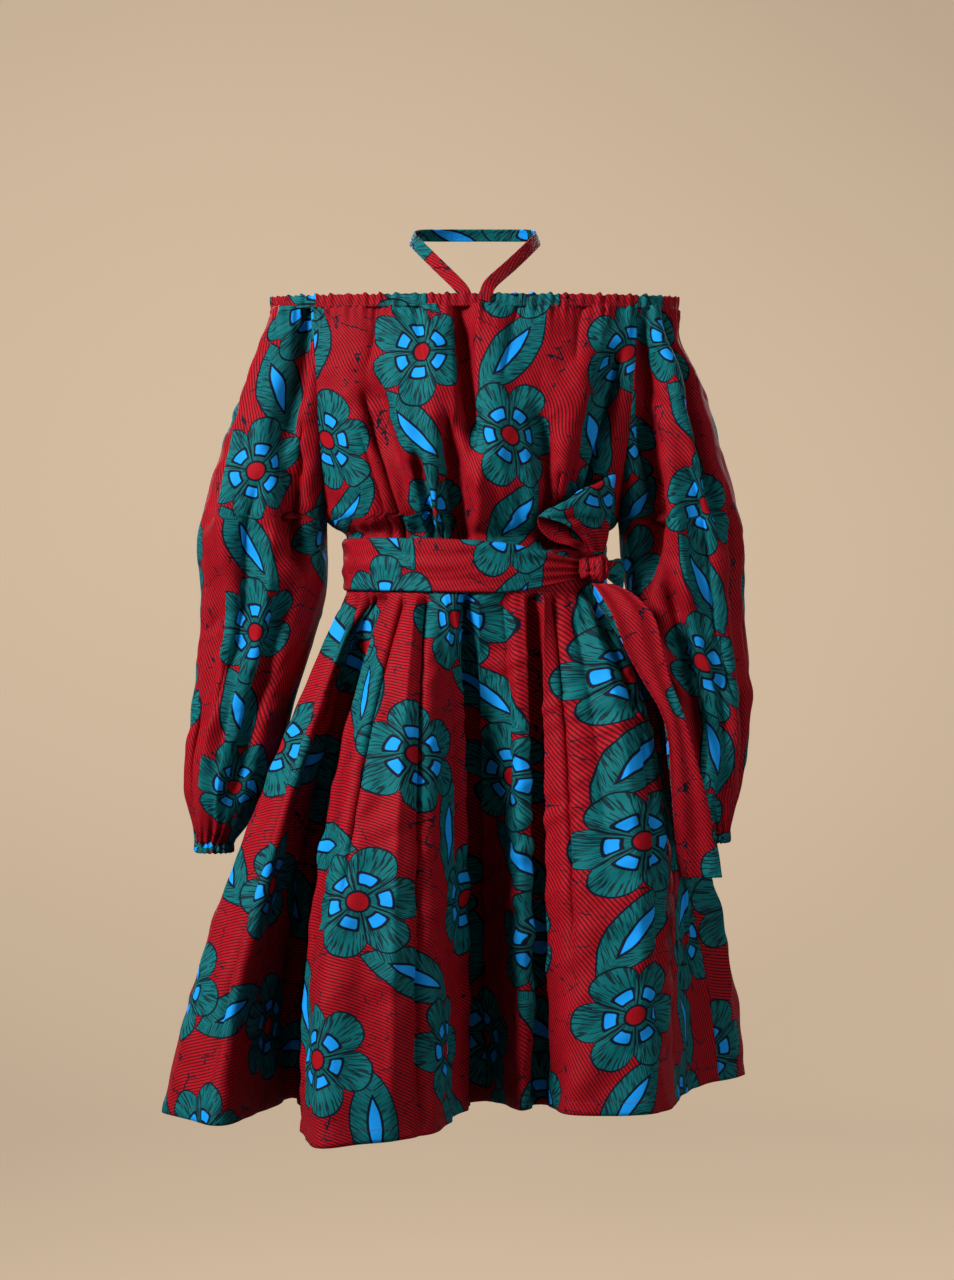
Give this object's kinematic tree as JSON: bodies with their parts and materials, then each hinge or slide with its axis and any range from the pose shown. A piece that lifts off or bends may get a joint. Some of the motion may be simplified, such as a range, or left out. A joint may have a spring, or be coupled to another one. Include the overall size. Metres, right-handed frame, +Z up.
{
  "type": "halter dress",
  "caption": "Off-shoulder mini dress in printed wax cotton: neck strap, gathered neckline, balloon sleeves, knotted tie belt and full flared skirt.",
  "frame": {"origin": "middle of the strap's inner face at the nape, where the wearer's neck holds the dress up", "axes": "+Z up, the front of the dress faces -Y, the wearer's left is +X"},
  "size_m": [0.6135, 0.4235, 0.9375],
  "materials": {
    "printed_cotton": "matte printed cotton"
  },
  "bodies": {
    "root": {"bodice_front": "printed_cotton", "bodice_back": "printed_cotton", "sleeve_left": "printed_cotton", "sleeve_right": "printed_cotton", "neck_casing": "printed_cotton", "cuff_left": "printed_cotton", "cuff_right": "printed_cotton", "halter_strap": "printed_cotton", "belt_band": "printed_cotton", "belt_knot": "printed_cotton", "belt_loop": "printed_cotton", "belt_tail_wide": "printed_cotton", "belt_tail_narrow": "printed_cotton", "skirt_front": "printed_cotton", "skirt_back": "printed_cotton"}
  },
  "joints": []
}
